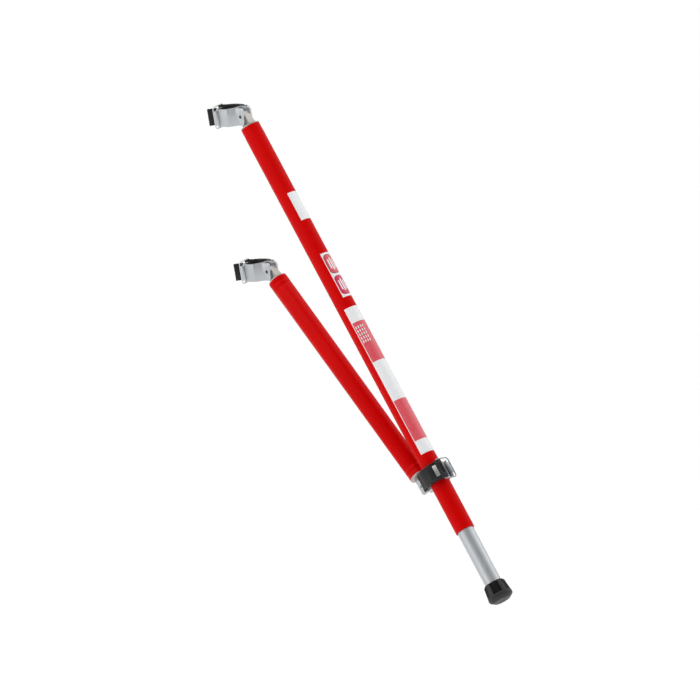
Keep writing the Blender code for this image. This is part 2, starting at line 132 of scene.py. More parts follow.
CLAMP_HALF_H = 22.0 * MM
GRIP_R = 27.0 * MM
PAD_INNER_R = TUBE_R + GAP
BODY_RING_R = 31.0 * MM
PLATE_FRONT_Y, PLATE_BACK_Y = -30.0 * MM, -26.0 * MM
PLATE_BEND_X = 22.0 * MM
EAR_BEND_X, EAR_END_X = 38.0 * MM, 64.0 * MM
EAR_INNER_Y, EAR_OUTER_Y = 9.5 * MM, 14.5 * MM
EAR_CORNER_R = 9.0 * MM
GROOVE_R, GROOVE_OUTSIDE_ROLL, GROOVE_ANGLE = 1.9 * MM, 0.5 * MM, radians(215.0)
# The hook roll at the plate's left end: x, y, radius and half height
UPPER_ROLL = (-19.5 * MM, -28.5 * MM, 7.0 * MM, 18.0 * MM)
COLLAR_ROLL = (-26.6 * MM, -28.8 * MM, 5.25 * MM, 14.0 * MM)
KNUCKLE_R, KNUCKLE_SPLIT = 5.0 * MM, 12.0 * MM
HINGE_PIN_R = 2.7 * MM
HINGE_PIN_HALF_H, LEVER_PIN_HALF_H = 23.0 * MM, 24.0 * MM
JAW_R = 33.0 * MM
JAW_START, JAW_END = radians(36.0), radians(176.0)
JAW_ARM_END = radians(54.0)
PAD_START, PAD_END = radians(28.0), radians(-168.0)
JAW_PAD_START, JAW_PAD_END = radians(38.0), radians(172.0)
LINER_HALF_GAP = radians(4.0)
HEEL_BEND, HEEL_TIP = (-42.0 * MM, -10.0 * MM), (-56.0 * MM, -24.0 * MM)
HEEL_HALF_T, HEEL_HALF_H = 2.5 * MM, 21.0 * MM
LEVER_BOSS_R, LEVER_PIN_R = 4.2 * MM, 2.2 * MM
LEVER_INNER_R, LEVER_OUTER_R = 34.0 * MM, 40.5 * MM
LEVER_START, LEVER_END = radians(164.0), radians(57.0)
LEVER_ROOT_H, LEVER_TIP_H = 24.5 * MM, 18.5 * MM
LEVER_RIM, LEVER_SINK, LEVER_LIP = 2.4 * MM, 1.0 * MM, 3.0 * MM
LEVER_PLATE_ANGLE, LEVER_PLATE_T = radians(148.0), 1.6 * MM
LEVER_PLATE_HALF_W, LEVER_PLATE_HALF_H = 5.0 * MM, 15.0 * MM
BAIL_HALF_H, WIRE_R = 27.3 * MM, 1.5 * MM
BAIL_PIVOT_CORNER, BAIL_BAR_CORNER = 2.9 * MM, 8.0 * MM
PIVOT_PIN_R, PIVOT_PIN_BORE_R = 4.0 * MM, 2.9 * MM
TONGUE_HALF_T, TONGUE_BOSS_R = 9.0 * MM, 12.0 * MM
FLANGE_T, SPIGOT_LENGTH = 3.0 * MM, 34.0 * MM
FOOT_RECESSES, FOOT_RECESS_TURN, FOOT_RECESS_HALF = 5, radians(4.0), radians(24.0)
FOOT_RECESS_R, FOOT_RECESS_TOP = 25.3 * MM, 32.0 * MM
SOLE_R = 22.5 * MM

# Stickers on the leg tube: distances below the tube's top, and angles round it from the brace's side
STICKER_START, STICKER_END = radians(214), radians(96)
TAPE_START, TAPE_BORDER = radians(240), radians(4)
PATCH_SPAN = (200 * MM, 278 * MM)
LABEL_SPAN = (376 * MM, 501 * MM)
LABEL_START, LABEL_MIDDLE, LABEL_END = radians(211), radians(172), radians(100)
TAPE_BANDS = (("white", 530, 571), ("red", 571, 683), ("white", 683, 795), ("red", 795, 911),
              ("white", 911, 948))
# Heights over the tube of a sheet, of what is printed on it and of each further layer of print
SHEET_LIFT, SHEET_T = 0.05 * MM, 0.15 * MM
PRINT_LIFT, PRINT_STEP, PRINT_T = 0.21 * MM, 0.09 * MM, 0.08 * MM

# The surroundings are bright at the sides, above and below, and darker in front of and behind the object
WORLD_SIDES, WORLD_FRONT = 1.48, 0.3
DARK_SIDE = 0.25

# Camera
CAMERA_AZIMUTH, CAMERA_ELEVATION, CAMERA_ROLL = radians(50.9), radians(8.9), radians(9.7)
CAMERA_DISTANCE, VIEW_WIDTH = 4.0, 1.7325
PIN_LEFT_OF_MIDDLE, PIN_ABOVE_MIDDLE = 0.2611, 0.5796


# Materials

class Shader:
    """A Principled material with helpers for its procedural detail."""

    def __init__(self, name, colour, roughness, metallic=0.0, **sockets):
        self.material = bpy.data.materials.new(name)
        self.material.use_nodes = True
        self.nodes = self.material.node_tree.nodes
        self.links = self.material.node_tree.links
        self.shader = self.nodes["Principled BSDF"]
        self.colour = colour
        self.shader.inputs["Base Color"].default_value = (*colour, 1)
        self.shader.inputs["Roughness"].default_value = roughness
        self.shader.inputs["Metallic"].default_value = metallic
        for socket, value in sockets.items():
            self.shader.inputs[socket.replace("_", " ")].default_value = value
        self.coordinates = self.nodes.new("ShaderNodeTexCoord").outputs["Object"]

    def noise(self, scale, stretch=(1, 1, 1), detail=4.0):
        mapping = self.nodes.new("ShaderNodeMapping")
        mapping.inputs["Scale"].default_value = stretch
        texture = self.nodes.new("ShaderNodeTexNoise")
        texture.inputs["Scale"].default_value = scale
        texture.inputs["Detail"].default_value = detail
        self.links.new(self.coordinates, mapping.inputs["Vector"])
        self.links.new(mapping.outputs["Vector"], texture.inputs["Vector"])
        return texture.outputs["Fac"]

    def ranged(self, source, low, high):
        node = self.nodes.new("ShaderNodeMapRange")
        node.inputs["From Min"].default_value = 0.3
        node.inputs["From Max"].default_value = 0.7
        node.inputs["To Min"].default_value = low
        node.inputs["To Max"].default_value = high
        self.links.new(source, node.inputs["Value"])
        return node.outputs["Result"]

    def vary_colour(self, source, other):
        node = self.nodes.new("ShaderNodeMix")
        node.data_type = "RGBA"
        node.inputs["A"].default_value = (*self.colour, 1)
        node.inputs["B"].default_value = (*other, 1)
        self.links.new(self.ranged(source, 0.0, 1.0), node.inputs["Factor"])
        self.links.new(node.outputs["Result"], self.shader.inputs["Base Color"])

    def vary_roughness(self, source, low, high):
        self.links.new(self.ranged(source, low, high), self.shader.inputs["Roughness"])

    def bump(self, source, distance, strength=1.0):
        node = self.nodes.new("ShaderNodeBump")
        node.inputs["Strength"].default_value = strength
        node.inputs["Distance"].default_value = distance
        self.links.new(source, node.inputs["Height"])
        self.links.new(node.outputs["Normal"], self.shader.inputs["Normal"])


def powder_coat():
    s = Shader("red_powder_coat", (0.56, 0.0, 0.0), 0.38, Specular_IOR_Level=0.05)
    s.vary_colour(s.noise(9.0, detail=2.0), (0.60, 0.0, 0.0))
    s.vary_roughness(s.noise(60.0), 0.27, 0.38)
    s.bump(s.noise(900.0, detail=2.0), 0.00006, 0.5)
    return s.material


def metal(name, colour, other, roughness, stretch, metallic=0.85):
    s = Shader(name, colour, roughness, metallic)
    s.vary_colour(s.noise(25.0, stretch), other)
    s.vary_roughness(s.noise(120.0, stretch), roughness - 0.07, roughness + 0.09)
    s.bump(s.noise(500.0, stretch), 0.00001, 0.5)
    return s.material


def plastic(name, colour, other, roughness, grain=1400.0, depth=0.00005):
    s = Shader(name, colour, roughness, Specular_IOR_Level=0.25)
    s.vary_colour(s.noise(40.0), other)
    s.vary_roughness(s.noise(200.0), roughness - 0.06, roughness + 0.08)
    s.bump(s.noise(grain, detail=1.0), depth, 0.7)
    return s.material


def tape(name, colour, other):
    """Reflective sheeting with its fine cells showing through a clear face."""
    s = Shader(name, colour, 0.3, Coat_Weight=0.4, Coat_Roughness=0.12)
    cells = s.nodes.new("ShaderNodeTexVoronoi")
    cells.inputs["Scale"].default_value = 420.0
    s.links.new(s.coordinates, cells.inputs["Vector"])
    s.vary_colour(cells.outputs["Distance"], other)
    s.bump(s.noise(300.0, detail=1.0), 0.00004, 0.5)
    return s.material


MATERIALS = {
    "red": powder_coat(),
    "aluminium": metal("extruded_aluminium", (0.46, 0.48, 0.50), (0.53, 0.55, 0.57), 0.36, (1, 1, 0.12)),
    "tongue": metal("cast_aluminium", (0.43, 0.41, 0.38), (0.49, 0.47, 0.44), 0.42, (1, 1, 1)),
    "inner": metal("drawn_aluminium", (0.47, 0.49, 0.51), (0.50, 0.52, 0.54), 0.34, (1, 1, 0.12)),
    # Near-black steel for the hollow pivot pin; on its bore faces this darkness is painted shade of the
    # hole.
    "dark_steel": metal("dark_steel_painted_bore_shade", (0.03, 0.03, 0.03), (0.05, 0.05, 0.05), 0.5, (1, 1, 1), 0.6),
    "wire": metal("bright_wire", (0.30, 0.30, 0.31), (0.36, 0.36, 0.37), 0.30, (1, 1, 1), 1.0),
    "steel": metal("zinc_plated_steel", (0.60, 0.60, 0.60), (0.70, 0.70, 0.69), 0.24, (1, 1, 1), 1.0),
    "black": plastic("black_moulding", (0.012, 0.012, 0.013), (0.020, 0.020, 0.022), 0.42),
    "rubber": plastic("black_rubber", (0.020, 0.020, 0.021), (0.030, 0.030, 0.031), 0.45, 900.0, 0.0001),
    # Near-black copy of the foot rubber for the recess floors: painted shade in the foot's recesses.
    "recess_shade": plastic("painted_slot_shade_rubber", (0.003, 0.003, 0.003), (0.006, 0.006, 0.006), 0.9, 900.0, 0.0001),
    "sole": plastic("worn_sole_rubber", (0.10, 0.10, 0.10), (0.16, 0.16, 0.16), 0.75, 900.0, 0.0001),
    "nylon": plastic("natural_nylon", (0.60, 0.60, 0.56), (0.66, 0.66, 0.62), 0.45),
    "tape_white": tape("reflective_white", (0.78, 0.79, 0.80), (0.86, 0.87, 0.88)),
    "tape_red": tape("reflective_red", (0.66, 0.05, 0.075), (0.73, 0.09, 0.12)),
    "crimson": tape("label_crimson", (0.56, 0.004, 0.07), (0.62, 0.01, 0.09)),
    "mark": tape("label_mark", (0.25, 0.02, 0.03), (0.32, 0.04, 0.05)),
}


# Mesh tools

def arc(centre, radius, start, end, step=radians(3)):
    count = max(2, round(abs(end - start) / step))
    angles = [start + (end - start) * i / count for i in range(count + 1)]
    return [(centre[0] + radius * cos(a), centre[1] + radius * sin(a)) for a in angles]


def capsule(first, second, radius):
    heading = atan2(second[1] - first[1], second[0] - first[0])
    outline = arc(first, radius, heading + 0.5 * pi, heading + 1.5 * pi, radians(10))
    return outline + arc(second, radius, heading - 0.5 * pi, heading + 0.5 * pi, radians(10))


def ring_outline(inner, outer, start, end):
    return arc((0, 0), outer, start, end) + arc((0, 0), inner, end, start)


def rotated(outline, angle):
    return [(x * cos(angle) - y * sin(angle), x * sin(angle) + y * cos(angle)) for x, y in outline]


def prism(outline, low, high, bm=None):
    bm = bm or bmesh.new()
    bottom = [bm.verts.new((x, y, low)) for x, y in outline]
    top = [bm.verts.new((x, y, high)) for x, y in outline]
    bm.faces.new(bottom[::-1])
    bm.faces.new(top)
    for i in range(len(outline)):
        j = (i + 1) % len(outline)
        bm.faces.new((bottom[i], bottom[j], top[j], top[i]))
    return bm


def turned(profile, sides=SIDES):
    bm = bmesh.new()
    rings = []
    for radius, height in profile:
        if radius == 0:
            rings.append([bm.verts.new((0, 0, height))])
        else:
            angles = [2 * pi * k / sides for k in range(sides)]
            rings.append([bm.verts.new((radius * cos(a), radius * sin(a), height)) for a in angles])
    for first, second in zip(rings, rings[1:] + rings[:1]):
        if len(first) == 1 and len(second) == 1:
            continue
        for k in range(sides):
            n = (k + 1) % sides
            around = [first[k % len(first)], first[n % len(first)]]
            around += [second[n % len(second)], second[k % len(second)]]
            bm.faces.new(list(dict.fromkeys(around)))
    return bm


def soft_tube(outer, bore, low, high, grooves=(), edge=0.5 * MM):
    """A tube with rounded mouths and, if asked, shallow rolled grooves at the given stations."""
    profile = [(bore, low), (outer - edge, low), (outer, low + edge)]
    half, depth = 1.6 * MM, 0.45 * MM
    for station in sorted(grooves):
        profile += [(outer, station - half), (outer - depth, station - 0.4 * half)]
        profile += [(outer - depth, station + 0.4 * half), (outer, station + half)]
    profile += [(outer, high - edge), (outer - edge, high), (bore, high)]
    return turned(profile)


def pin(radius, low, high, edge=0.4 * MM, sides=32):
    return turned([(0, low), (radius - edge, low), (radius, low + edge), (radius, high - edge),
                   (radius - edge, high), (0, high)], sides)


def drill(radius, location=(0, 0, 0)):
    """A cutter along Z that reaches past any part of a clamp."""
    return shifted(pin(radius, -THROUGH, THROUGH), location)


def along_y(bm, location=(0, 0, 0)):
    bmesh.ops.rotate(bm, verts=bm.verts, cent=(0, 0, 0), matrix=Matrix.Rotation(-pi / 2, 3, "X"))
    bmesh.ops.translate(bm, verts=bm.verts, vec=location)
    return bm


def shifted(bm, location):
    bmesh.ops.translate(bm, verts=bm.verts, vec=location)
    return bm


def swapped(bm):
    """Turns a prism drawn in XY and extruded along Z into one drawn in XZ and extruded along Y."""
    for vert in bm.verts:
        x, z, y = vert.co
        vert.co = (x, y, z)
    return bm


def mesh_object(name, bm):
    bmesh.ops.recalc_face_normals(bm, faces=bm.faces)
    mesh = bpy.data.meshes.new(name)
    bm.to_mesh(mesh)
    bm.free()
    obj = bpy.data.objects.new(name, mesh)
    bpy.context.scene.collection.objects.link(obj)
    return obj


def baked(obj):
    """Replaces the object's mesh by what its modifiers make of it."""
    evaluated = obj.evaluated_get(bpy.context.evaluated_depsgraph_get())
    mesh = bpy.data.meshes.new_from_object(evaluated)
    obj.modifiers.clear()
    obj.data = mesh


def piece(name, bm, look, body, place, joins=(), cuts=(), bevel=0.0, segments=2):
    """A finished piece: shapes joined and cut, edges rounded, placed, coloured and riding on its body."""
    obj = mesh_object(name, bm)
    tools = []
    for operation, shapes in (("UNION", joins), ("DIFFERENCE", cuts)):
        for shape in shapes:
            tool = mesh_object(name + "_tool", shape)
            modifier = obj.modifiers.new("shape", "BOOLEAN")
            modifier.operation = operation
            modifier.object = tool
            modifier.solver = "EXACT"
            tools.append(tool)
    if bevel:
        modifier = obj.modifiers.new("edges", "BEVEL")
        modifier.width = bevel
        modifier.segments = segments
        modifier.limit_method = "ANGLE"
        modifier.angle_limit = radians(40)
        modifier.use_clamp_overlap = True
    if obj.modifiers:
        bpy.context.view_layer.update()
        baked(obj)
    for tool in tools:
        bpy.data.objects.remove(tool, do_unlink=True)
    obj.data.transform(place)
    obj.data.shade_smooth()
    obj.data.set_sharp_from_angle(angle=radians(38))
    obj.data.materials.clear()
    obj.data.materials.append(MATERIALS[look])
    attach(obj, body)
    return obj


def finished(make, node, bm, look, body, place, **shaping):
    """The piece that takes a CAD node's place, named after the way it is made."""
    obj = piece(make + "_" + node, bm, look, body, place, **shaping)
    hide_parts(node)
    return obj


# Clamp

def body_outline(roll_x):
    ear_angle = asin(EAR_INNER_Y / BODY_RING_R)
    top_angle = asin(EAR_OUTER_Y / GRIP_R)
    left_end = radians(-172.0)
    plate_angle = -pi - asin(PLATE_BACK_Y / BODY_RING_R)
    outline = [(roll_x, PLATE_FRONT_Y), (PLATE_BEND_X, PLATE_FRONT_Y)]
    outline += [(EAR_BEND_X, -EAR_OUTER_Y), (EAR_END_X, -EAR_OUTER_Y), (EAR_END_X, -EAR_INNER_Y)]
    outline += arc((0, 0), BODY_RING_R, -ear_angle, ear_angle)
    outline += [(EAR_END_X, EAR_INNER_Y), (EAR_END_X, EAR_OUTER_Y)]
    outline += arc((0, 0), GRIP_R, top_angle, left_end)
    outline += arc((0, 0), BODY_RING_R, left_end, plate_angle)
    return outline + [(roll_x, PLATE_BACK_Y)]


def groove_centre(roll):
    x, y, radius, _ = roll
    offset = radius + GROOVE_OUTSIDE_ROLL
    return x + offset * cos(GROOVE_ANGLE), y + offset * sin(GROOVE_ANGLE)


def roll_outline(roll):
    x, y, radius, _ = roll
    offset = radius + GROOVE_OUTSIDE_ROLL
    reach = (radius ** 2 - GROOVE_R ** 2 + offset ** 2) / (2 * offset)
    half_mouth = acos(reach / radius)
    half_groove = acos((offset - reach) / GROOVE_R)
    front = asin((PLATE_FRONT_Y - y) / radius)
    back = asin((PLATE_BACK_Y - y) / radius)
    inward = GROOVE_ANGLE - pi
    root = x + radius + MM
    outline = [(root, PLATE_BACK_Y)]
    outline += arc((x, y), radius, back, GROOVE_ANGLE - half_mouth, radians(6))
    groove = arc(groove_centre(roll), GROOVE_R, inward + half_groove, inward - half_groove, radians(10))
    outline += groove[1:-1]
    outline += arc((x, y), radius, GROOVE_ANGLE + half_mouth, 2 * pi + front, radians(6))
    return outline + [(root, PLATE_FRONT_Y)]


def ear_corner(side):
    centre = (EAR_END_X - EAR_CORNER_R, CLAMP_HALF_H - EAR_CORNER_R)
    beyond = 2 * MM
    outline = arc(centre, EAR_CORNER_R, 0, 0.5 * pi, radians(6))
    outline += [(centre[0], CLAMP_HALF_H + beyond), (EAR_END_X + beyond, CLAMP_HALF_H + beyond)]
    outline += [(EAR_END_X + beyond, centre[1])]
    bm = swapped(prism(outline, -2 * EAR_OUTER_Y, 2 * EAR_OUTER_Y))
    for vert in bm.verts:
        vert.co.z *= side
    return bm


def clamp_body(prefix, place, roll):
    roll_x, roll_y, roll_r, roll_half_h = roll
    barrel_foot = EAR_OUTER_Y - 2 * MM
    barrel = [(HINGE.x + KNUCKLE_R, barrel_foot)]
    barrel += arc((HINGE.x, HINGE.y), KNUCKLE_R, 0, pi, radians(8))
    barrel += [(HINGE.x - KNUCKLE_R, barrel_foot)]
    joins = [prism(roll_outline(roll), -roll_half_h, roll_half_h),
             prism(barrel, -KNUCKLE_SPLIT, KNUCKLE_SPLIT)]
    curl = shifted(pin(0.35 * roll_r, roll_half_h - 4 * MM, THROUGH), (roll_x, roll_y - 0.3 * roll_r, 0))
    crease_start, crease_end = roll_x + roll_r - 0.2 * MM, roll_x + roll_r + MM
    crease_floor = PLATE_FRONT_Y + 1.2 * MM
    crease = [(crease_start, -THROUGH), (crease_end, -THROUGH), (crease_end, crease_floor),
              (crease_start, crease_floor)]
    cuts = [drill(HINGE_PIN_R + GAP, HINGE),
            along_y(drill(PIVOT_PIN_R + GAP), (PIN_OFFSET, 0, 0)),
            curl, ear_corner(-1), ear_corner(1), prism(crease, -THROUGH, THROUGH)]
    blank = prism(body_outline(roll_x), -CLAMP_HALF_H, CLAMP_HALF_H)
    finished("extruded", prefix + "_body", blank, "aluminium", prefix, place,
             joins=joins, cuts=cuts, bevel=0.45 * MM)


def clamp_jaw(prefix, place, heel):
    ring = ring_outline(GRIP_R, JAW_R, JAW_START, JAW_END)
    arm = arc((HINGE.x, HINGE.y), KNUCKLE_R, -0.5 * pi, 0.5 * pi, radians(8))
    arm += [(JAW_R * cos(JAW_ARM_END), JAW_R * sin(JAW_ARM_END)), (GRIP_R * 0.87, HINGE.y)]
    arm += [((GRIP_R + MM) * cos(JAW_START), HINGE.y - KNUCKLE_R)]
    boss = arc((LEVER_PIN.x, LEVER_PIN.y), LEVER_BOSS_R, radians(45), radians(270), radians(8))
    boss_root = -GRIP_R - 2 * MM
    boss += [(boss_root, LEVER_PIN.y - 1.6 * MM), (boss_root, LEVER_PIN.y + 2.9 * MM)]
    joins = [prism(arm, KNUCKLE_SPLIT + GAP, CLAMP_HALF_H),
             prism(arm, -CLAMP_HALF_H, -KNUCKLE_SPLIT - GAP),
             prism(boss, -KNUCKLE_SPLIT, KNUCKLE_SPLIT)]
    if heel:
        link = capsule((LEVER_PIN.x, LEVER_PIN.y - 3 * MM), HEEL_BEND, HEEL_HALF_T)
        joins += [prism(link, -KNUCKLE_SPLIT, KNUCKLE_SPLIT),
                  prism(capsule(HEEL_BEND, HEEL_TIP, HEEL_HALF_T), -HEEL_HALF_H, HEEL_HALF_H)]
    cuts = [drill(HINGE_PIN_R + GAP, HINGE), drill(LEVER_PIN_R + GAP, LEVER_PIN)]
    node = prefix + "_jaw"
    blank = prism(ring, -CLAMP_HALF_H, CLAMP_HALF_H)
    finished("moulded", node, blank, "black", node, place, joins=joins, cuts=cuts, bevel=0.5 * MM)


def lever_blade():
    """The blade over the jaw, with raised rims, a sunk middle and a finger lip."""
    bm = bmesh.new()
    sections = []
    steps = 48
    lip_start = 0.85
    for i in range(steps + 1):
        share = i / steps
        angle = LEVER_START + (LEVER_END - LEVER_START) * share
        half = LEVER_ROOT_H + (LEVER_TIP_H - LEVER_ROOT_H) * share
        rim = half - LEVER_RIM
        sunk = rim - 0.5 * MM
        outer = LEVER_OUTER_R + LEVER_LIP * max(0.0, (share - lip_start) / (1 - lip_start)) ** 2
        floor = outer - LEVER_SINK * min(1.0, share / 0.06, (1 - share) / 0.1)
        corners = ((LEVER_INNER_R, -half), (outer, -half), (outer, -rim), (floor, -sunk),
                   (floor, sunk), (outer, rim), (outer, half), (LEVER_INNER_R, half))
        section = [bm.verts.new((radius * cos(angle), radius * sin(angle), z)) for radius, z in corners]
        sections.append(section)
    for first, second in zip(sections, sections[1:]):
        for k in range(len(first)):
            n = (k + 1) % len(first)
            bm.faces.new((first[k], first[n], second[n], second[k]))
    bm.faces.new(sections[0])
    bm.faces.new(sections[-1])
    return bm


def lever_ridges():
    """Grip ridges across the blade, next to its plate."""
    bm = bmesh.new()
    low, high, half_h = LEVER_OUTER_R - 2 * MM, LEVER_OUTER_R + 0.2 * MM, 14 * MM
    for start in (133, 127, 121):
        prism(ring_outline(low, high, radians(start), radians(start + 2.2)), -half_h, half_h, bm)
    return bm


def clamp_lever(prefix, place):
    pivot = (BAIL_PIVOT.x, BAIL_PIVOT.y)
    root = capsule(pivot, (pivot[0] + 4 * MM, pivot[1] + 1.5 * MM), 3.4 * MM)
    cheek = capsule((LEVER_PIN.x, LEVER_PIN.y), pivot, LEVER_BOSS_R)
    joins = [prism(root, -LEVER_ROOT_H, LEVER_ROOT_H),
             prism(cheek, KNUCKLE_SPLIT + GAP, LEVER_ROOT_H),
             prism(cheek, -LEVER_ROOT_H, -KNUCKLE_SPLIT - GAP),
             lever_ridges()]
    cuts = [drill(LEVER_PIN_R + GAP, LEVER_PIN), drill(WIRE_R + GAP, BAIL_PIVOT)]
    node = prefix + "_lever"
    finished("moulded", node, lever_blade(), "black", node, place, joins=joins, cuts=cuts, bevel=0.35 * MM)
    low, high = LEVER_OUTER_R + GAP, LEVER_OUTER_R + GAP + LEVER_PLATE_T
    half_w, half_h = LEVER_PLATE_HALF_W, LEVER_PLATE_HALF_H
    outline = [(low, -half_w), (high, -half_w), (high, half_w), (low, half_w)]
    plate = prism(rotated(outline, LEVER_PLATE_ANGLE), -half_h, half_h)
    finished("bevelled", node + "_plate", plate, "steel", node, place, bevel=0.5 * MM)


def wire_loop(start, end, half_height, radius, start_corner, end_corner, sides=16, turns=10):
    """A rounded rectangle of wire in the plane through Z and the line from start to end."""
    along = Vector((end[0] - start[0], end[1] - start[1], 0))
    length = along.length
    along.normalize()
    up = Vector((0, 0, 1))
    across = along.cross(up)
    base = Vector((start[0], start[1], 0))
    path = []
    far = length - end_corner
    stops = ((start_corner, start_corner, pi, -1), (far, end_corner, 1.5 * pi, -1),
             (far, end_corner, 0.0, 1), (start_corner, start_corner, 0.5 * pi, 1))
    for u, corner, begin, side in stops:
        centre = base + along * u + up * side * (half_height - corner)
        for i in range(turns + 1):
            a = begin + 0.5 * pi * i / turns
            outward = along * cos(a) + up * sin(a)
            path.append((centre + outward * corner, outward))
    bm = bmesh.new()
    rings = []
    for point, outward in path:
        angles = [2 * pi * k / sides for k in range(sides)]
        around = [outward * cos(a) + across * sin(a) for a in angles]
        rings.append([bm.verts.new(point + radius * direction) for direction in around])
    for first, second in zip(rings, rings[1:] + rings[:1]):
        for k in range(sides):
            n = (k + 1) % sides
            bm.faces.new((first[k], first[n], second[n], second[k]))
    return bm


def clamp_bail(prefix, place, roll, look):
    node = prefix + "_bail"
    wire = wire_loop(BAIL_PIVOT, groove_centre(roll), BAIL_HALF_H, WIRE_R,
                     BAIL_PIVOT_CORNER, BAIL_BAR_CORNER)
    finished("bent", node, wire, look, node, place)


def clamp_pins(prefix, place):
    """The solid hinge and lever pins, and the hollow pivot pin with a black plug just inside its ends:
    painted shade in its bore.
    """
    hinge_pin = shifted(pin(HINGE_PIN_R, -HINGE_PIN_HALF_H, HINGE_PIN_HALF_H, 0.8 * MM), HINGE)
    finished("turned", prefix + "_hinge_pin", hinge_pin, "steel", prefix, place)
    lever_pin = shifted(pin(LEVER_PIN_R, -LEVER_PIN_HALF_H, LEVER_PIN_HALF_H, 0.6 * MM), LEVER_PIN)
    finished("turned", prefix + "_lever_pin", lever_pin, "steel", prefix + "_jaw", place)
    edge, half = 0.4 * MM, EAR_OUTER_Y - GAP
    profile = [(PIVOT_PIN_BORE_R, -half), (PIVOT_PIN_R - edge, -half), (PIVOT_PIN_R, edge - half),
               (PIVOT_PIN_R, half - edge), (PIVOT_PIN_R - edge, half), (PIVOT_PIN_BORE_R, half)]
    pivot_pin = along_y(turned(profile, 48), (PIN_OFFSET, 0, 0))
    # The pivot pin is near-black steel, and inside its bore that darkness is painted shade.
    finished("rolled", prefix + "_pivot_pin", pivot_pin, "dark_steel", prefix, place)
    # A black plug just inside the pin's ends stands in for the shade in its bore: painted shade.
    bore_shade = pin(PIVOT_PIN_BORE_R - 0.05 * MM, 0.5 * MM - half, half - 0.5 * MM)
    piece("core_" + prefix + "_pivot_pin", along_y(bore_shade, (PIN_OFFSET, 0, 0)), "black", prefix, place)


def lining(make, node, look, body, place, start, end):
    """A pad or liner against the grip's bore, between two angles."""
    half_h = CLAMP_HALF_H - MM
    outline = ring_outline(PAD_INNER_R, GRIP_R - GAP, start, end)
    finished(make, node, prism(outline, -half_h, half_h), look, body, place)


def clamp(prefix):
    place = CLAMP_FRAMES[prefix]
    collar = prefix == "collar"
    roll = COLLAR_ROLL if collar else UPPER_ROLL
    clamp_body(prefix, place, roll)
    clamp_jaw(prefix, place, heel=not collar)
    clamp_lever(prefix, place)
    clamp_bail(prefix, place, roll, "wire" if collar else "steel")
    clamp_pins(prefix, place)
    if collar:
        start, end = LINER_HALF_GAP, 2 * pi - LINER_HALF_GAP
        lining("split", "collar_liner", "nylon", "collar_liner", place, start, end)
    else:
        lining("ribbed", prefix + "_pad", "rubber", prefix, place, PAD_START, PAD_END)
        lining("ribbed", prefix + "_jaw_pad", "rubber", prefix + "_jaw", place, JAW_PAD_START, JAW_PAD_END)


# Plugs, tubes and foot, drawn with the pin at the origin and the tube along +Z

def plug(node, body, place, tube_start):
    seat = tube_start - GAP
    low = seat - FLANGE_T
    crown = low - 2.5 * MM
    end = tube_start + SPIGOT_LENGTH
    flange_r, spigot_r = TUBE_R - 0.4 * MM, TUBE_BORE_R - GAP
    profile = [(0, crown), (19 * MM, crown), (TUBE_R - 2 * MM, low), (flange_r, low + 0.6 * MM),
               (flange_r, seat), (spigot_r, seat), (spigot_r, end), (0, end)]
    outline = arc((0, 0), TONGUE_BOSS_R, pi, 2 * pi, radians(5))
    outline += [(17 * MM, low), (-17 * MM, low)]
    tongue = swapped(prism(outline, -TONGUE_HALF_T, TONGUE_HALF_T))
    bore = along_y(drill(PIVOT_PIN_R + GAP))
    finished("cast", node, turned(profile), "tongue", body, place,
             joins=[tongue], cuts=[bore], bevel=0.5 * MM)


def foot(top):
    edge = 1.5 * MM
    profile = [(0, FOOT_LENGTH), (SOLE_R, FOOT_LENGTH), (31.4 * MM, 41.6 * MM), (32.2 * MM, 40.2 * MM),
               (32.5 * MM, 37 * MM), (28 * MM, edge), (27.6 * MM, 0.4 * MM), (28 * MM - edge, 0),
               (INNER_R + GAP, 0), (INNER_R + GAP, FOOT_SOCKET), (0, FOOT_SOCKET)]
    cuts = []
    for k in range(FOOT_RECESSES):
        middle = FOOT_RECESS_TURN + 2 * pi * k / FOOT_RECESSES
        first, last = middle - FOOT_RECESS_HALF, middle + FOOT_RECESS_HALF
        outline = ring_outline(FOOT_RECESS_R, THROUGH, first, last)
        cuts.append(prism(outline, top - 2 * MM, top + FOOT_RECESS_TOP))
    blank = shifted(turned(profile), (0, 0, top))
    shell = finished("moulded", "foot", blank, "rubber", "inner_leg", LEG_FRAME,
                     cuts=cuts, bevel=0.7 * MM, segments=3)
    # Faces at the recess floors' radius get the near-black rubber: painted shade in the recesses.
    shell.data.materials.append(MATERIALS["recess_shade"])
    for face in shell.data.polygons:
        offset = face.center - LEG_PIN
        from_axis = (offset - LEG_AXIS * offset.dot(LEG_AXIS)).length
        if FOOT_RECESS_R - 0.8 * MM < from_axis < FOOT_RECESS_R + 0.2 * MM:
            face.material_index = 1


def foot_tread(top):
    """Raised rings on the sole, standing on a thin disc that is sunk into the rubber."""
    skin, ridge, buried = (FOOT_LENGTH + lift * MM for lift in (0.02, 0.5, -0.2))
    rim = SOLE_R - 0.2 * MM
    profile = [(0, skin)]
    for k in range(6):
        inner = (3 + 3.4 * k) * MM
        outer = inner + 2.2 * MM
        profile += [(inner, skin), (inner, ridge), (outer, ridge), (outer, skin)]
    profile += [(rim, skin), (rim, buried), (0, buried)]
    piece("foot_tread", shifted(turned(profile), (0, 0, top)), "sole", "inner_leg", LEG_FRAME)


def leg_tube():
    """The main tube, slightly necked over its plug."""
    neck_r, neck_end = TUBE_R - 0.4 * MM, TUBE_TOP + 22 * MM
    edge = 0.5 * MM
    profile = [(TUBE_BORE_R, TUBE_TOP), (neck_r - edge, TUBE_TOP), (neck_r, TUBE_TOP + 0.6 * MM),
               (neck_r, neck_end - MM), (TUBE_R, neck_end + MM), (TUBE_R, TUBE_END - edge),
               (TUBE_R - edge, TUBE_END), (TUBE_BORE_R, TUBE_END)]
    finished("coated", "leg_tube", turned(profile), "red", "leg", LEG_FRAME)


